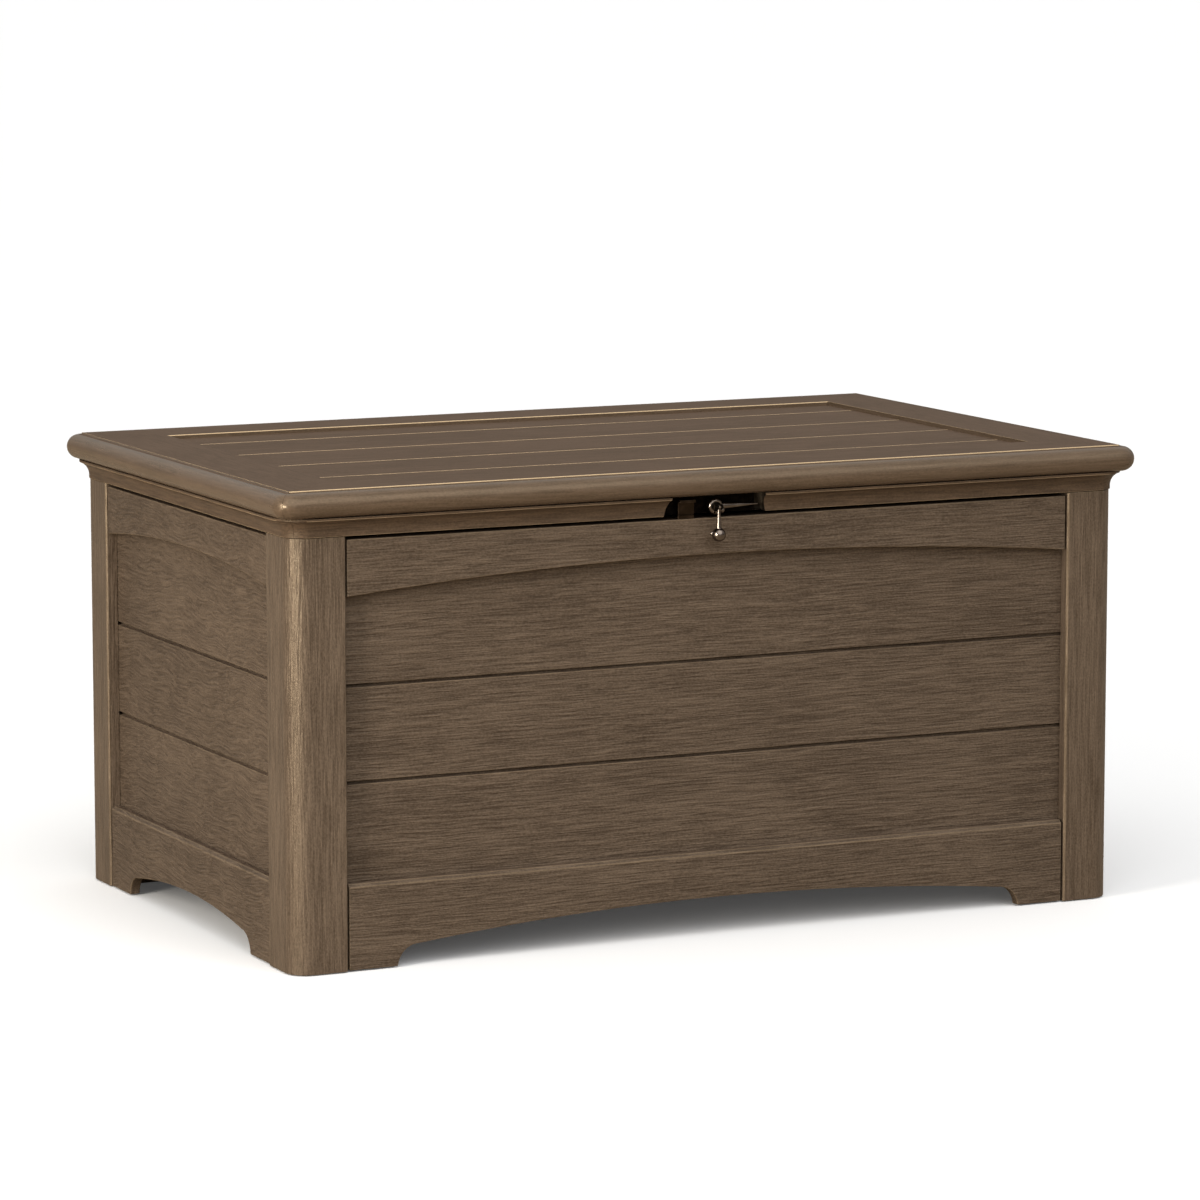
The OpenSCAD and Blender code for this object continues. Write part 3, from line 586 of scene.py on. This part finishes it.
class DECKBOX_OT_boards(bpy.types.Operator):
    """Finish the wall boards"""

    bl_idname = "deckbox.boards"
    bl_label = "Wall Boards"

    def execute(self, context):
        for side in SIDES:
            material = MATERIALS[f"wall_{along_wall(side)}"]
            for row in ("bottom", "middle", "top"):
                softened(f"{side}_board_{row}", material, sizes().arris / 2)
        return {"FINISHED"}


class DECKBOX_OT_lid(bpy.types.Operator):
    """Finish the lid's frame, cove rails and boards"""

    bl_idname = "deckbox.lid"
    bl_label = "Lid"

    def execute(self, context):
        size = sizes()
        for side in SIDES:
            axis = along_wall(side)
            lid_frame(side, MATERIALS[f"frame_{axis}"])
            # On the cove rail only the lower, outward arrises take the lighter tone: a painted highlight
            # along its lip
            softened(
                f"lid_cove_{side}",
                MATERIALS[f"cove_{axis}"],
                size.arris / 2,
                mitred=True,
                lit_and_worn=(-1, 0.1),
            )
        for row in range(1, 6):
            softened(f"lid_board_{row}", MATERIALS["lid_x"], size.arris / 2)
        return {"FINISHED"}


class DECKBOX_OT_inner(bpy.types.Operator):
    """Finish the floor, cleats, bearers, battens, glides and bumpers"""

    bl_idname = "deckbox.inner"
    bl_label = "Floor and Inner Boards"

    def execute(self, context):
        for node in ("floor_panel", "floor_cleats", "floor_bearers", "lid_battens"):
            softened(node, MATERIALS["inner"], sizes().arris / 2, 2)
        for node in ("foot_glides", "lid_bumpers"):
            softened(node, MATERIALS["rubber"], sizes().metal_arris, 2)
        return {"FINISHED"}


class DECKBOX_OT_hardware(bpy.types.Operator):
    """Finish the hinges, the latch and the screws"""

    bl_idname = "deckbox.hardware"
    bl_label = "Hinges and Latch"

    def execute(self, context):
        rounded = {
            "latch_keeper": ("bronze", "dark_bronze"),
            # Lever and pull take the brighter bronze, a painted highlight
            "latch_lever": ("painted_highlight", "dark_bronze"),
            "latch_pull": ("painted_highlight", "dark_bronze"),
            # The plate's near-black is painted shade of the latch notch
            "latch_plate": ("black", "blackened_steel"),
            "hinge_body_leaves": ("zinc", "zinc_steel"),
            "hinge_lid_leaves": ("zinc", "zinc_steel"),
        }
        for node, (finish, slot) in rounded.items():
            softened(node, MATERIALS[finish], sizes().metal_arris, 2)
        plain = {
            "zinc": (
                "hinge_pins",
                "hinge_body_screws",
                "hinge_lid_screws",
                "cleat_screws",
                "batten_screws",
            ),
            "bronze": ("keeper_screws", "latch_pull_pin"),
            # Near-black like the plate: painted shade of the notch
            "black": ("latch_plate_screws",),
        }
        for finish, nodes in plain.items():
            for node in nodes:
                for place in frame["nodes"][node].material_slots:
                    place.material = MATERIALS[finish]
        return {"FINISHED"}


# The camera's place: it looks at a point near the middle of the box from low on the left
VIEW_AZIMUTH = -25.669
VIEW_ELEVATION = 8.139
VIEW_DISTANCE = 6.683
VIEW_AIM = (0.0065, 0.0, 0.3646)
SENSOR_WIDTH = 36
# Strength of the light from the horizon, and from the softbox overhead
SKY_STRENGTH = (0.15, 0.75)
FLOOR_GLOW = 0.05
WARM_TINT = (1.0, 0.93, 0.82)
PALE_TINT = (1.0, 0.97, 0.9)


def look_back(azimuth, elevation):
    """The direction from the aim to the camera, in degrees round and up from the front."""
    a, e = math.radians(azimuth), math.radians(elevation)
    return Vector((math.sin(a) * math.cos(e), -math.cos(a) * math.cos(e), math.sin(e)))


def add_sun(name, azimuth, elevation, strength, softness):
    light = bpy.data.lights.new(name, "SUN")
    light.energy = strength
    light.angle = math.radians(softness)
    lamp = bpy.data.objects.new(name, light)
    lamp.rotation_mode = "QUATERNION"
    lamp.rotation_quaternion = (-look_back(azimuth, elevation)).to_track_quat("-Z", "Y")
    bpy.context.scene.collection.objects.link(lamp)


def add_softbox(name, azimuth, distance, height, width, tall, power, tint):
    """An upright softbox that faces the box."""
    light = bpy.data.lights.new(name, "AREA")
    light.shape = "RECTANGLE"
    light.size = width
    light.size_y = tall
    light.energy = power
    light.color = tint
    lamp = bpy.data.objects.new(name, light)
    back = look_back(azimuth, 0)
    lamp.location = back * distance + Vector((0, 0, height))
    lamp.rotation_mode = "QUATERNION"
    lamp.rotation_quaternion = (-back).to_track_quat("-Z", "Y")
    bpy.context.scene.collection.objects.link(lamp)
    return lamp


class DECKBOX_OT_stage(bpy.types.Operator):
    """Add the pale floor, the soft studio light and the camera"""

    bl_idname = "deckbox.stage"
    bl_label = "Studio"

    def execute(self, context):
        scene = context.scene
        bm = bmesh.new()
        bmesh.ops.create_grid(bm, x_segments=1, y_segments=1, size=sizes().floor_size / 2)
        mesh = bpy.data.meshes.new("floor")
        bm.to_mesh(mesh)
        bm.free()
        floor = bpy.data.objects.new("floor", mesh)
        scene.collection.objects.link(floor)
        material, tree = new_material("pale floor")
        # The camera sees the floor as pale as paper; it throws less light back under the box
        seen = add(tree, "ShaderNodeLightPath").outputs["Is Camera Ray"]
        paint = mixed(tree, seen, rgba(colours().floor_bounce), colours().floor)
        glow = add(tree, "ShaderNodeMath", {0: seen, 1: FLOOR_GLOW}, operation="MULTIPLY").outputs[0]
        shader = add(
            tree,
            "ShaderNodeBsdfPrincipled",
            {"Base Color": paint, "Roughness": 0.9, "Emission Strength": glow},
        )
        shader.inputs["Emission Color"].default_value = (1, 1, 1, 1)
        finish_material(tree, shader)
        mesh.materials.append(material)

        # A softbox overhead that falls off towards the horizon
        world = bpy.data.worlds.new("studio")
        world.use_nodes = True
        tree = world.node_tree
        tree.nodes.clear()
        direction = add(tree, "ShaderNodeTexCoord").outputs["Generated"]
        height = add(tree, "ShaderNodeSeparateXYZ", {"Vector": direction}).outputs["Z"]
        glow = span(tree, height, (0.0, 0.7), SKY_STRENGTH)
        sky = add(tree, "ShaderNodeBackground", {"Color": rgba(colours().daylight), "Strength": glow})
        add(tree, "ShaderNodeOutputWorld", {"Surface": sky.outputs["Background"]})
        scene.world = world
        scene.view_settings.view_transform = "Standard"

        add_softbox("key", -68, 3.6, height=1.15, width=0.8, tall=2.3, power=110, tint=WARM_TINT)
        # A small softbox that shows only in reflections
        glint = add_softbox("glint", -57, 3.8, height=0.9, width=0.8, tall=0.5, power=85, tint=PALE_TINT)
        glint.visible_diffuse = False
        add_sun("fill", -5, 44, strength=1.9, softness=70)

        camera = bpy.data.cameras.new("camera")
        camera.lens = sizes().lens
        camera.sensor_width = SENSOR_WIDTH
        camera.clip_end = 1000
        holder = bpy.data.objects.new("camera", camera)
        scene.collection.objects.link(holder)
        back = look_back(VIEW_AZIMUTH, VIEW_ELEVATION)
        holder.location = Vector(VIEW_AIM) + back * VIEW_DISTANCE
        holder.rotation_mode = "QUATERNION"
        holder.rotation_quaternion = (-back).to_track_quat("-Z", "Y")
        scene.camera = holder
        return {"FINISHED"}


OPERATORS = (
    DECKBOX_OT_posts,
    DECKBOX_OT_rails,
    DECKBOX_OT_boards,
    DECKBOX_OT_lid,
    DECKBOX_OT_inner,
    DECKBOX_OT_hardware,
    DECKBOX_OT_stage,
)


class DECKBOX_PT_panel(bpy.types.Panel):
    """Lists the steps that finish the deck storage box"""

    bl_idname = "DECKBOX_PT_panel"
    bl_label = "Deck Storage Box"
    bl_space_type = "VIEW_3D"
    bl_region_type = "UI"
    bl_category = "Deck Box"

    def draw(self, context):
        for operator in OPERATORS:
            self.layout.operator(operator.bl_idname)


CLASSES = (DeckBoxSizes, DeckBoxColours, *OPERATORS, DECKBOX_PT_panel)


def register():
    for cls in CLASSES:
        bpy.utils.register_class(cls)
    bpy.types.Scene.deck_box_sizes = bpy.props.PointerProperty(type=DeckBoxSizes)
    bpy.types.Scene.deck_box_colours = bpy.props.PointerProperty(type=DeckBoxColours)


def unregister():
    del bpy.types.Scene.deck_box_sizes
    del bpy.types.Scene.deck_box_colours
    for cls in reversed(CLASSES):
        bpy.utils.unregister_class(cls)


def main():
    register()
    make_materials()
    bpy.ops.deckbox.posts()
    bpy.ops.deckbox.rails()
    bpy.ops.deckbox.boards()
    bpy.ops.deckbox.lid()
    bpy.ops.deckbox.inner()
    bpy.ops.deckbox.hardware()
    bpy.ops.deckbox.stage()


if __name__ == "__main__":
    main()
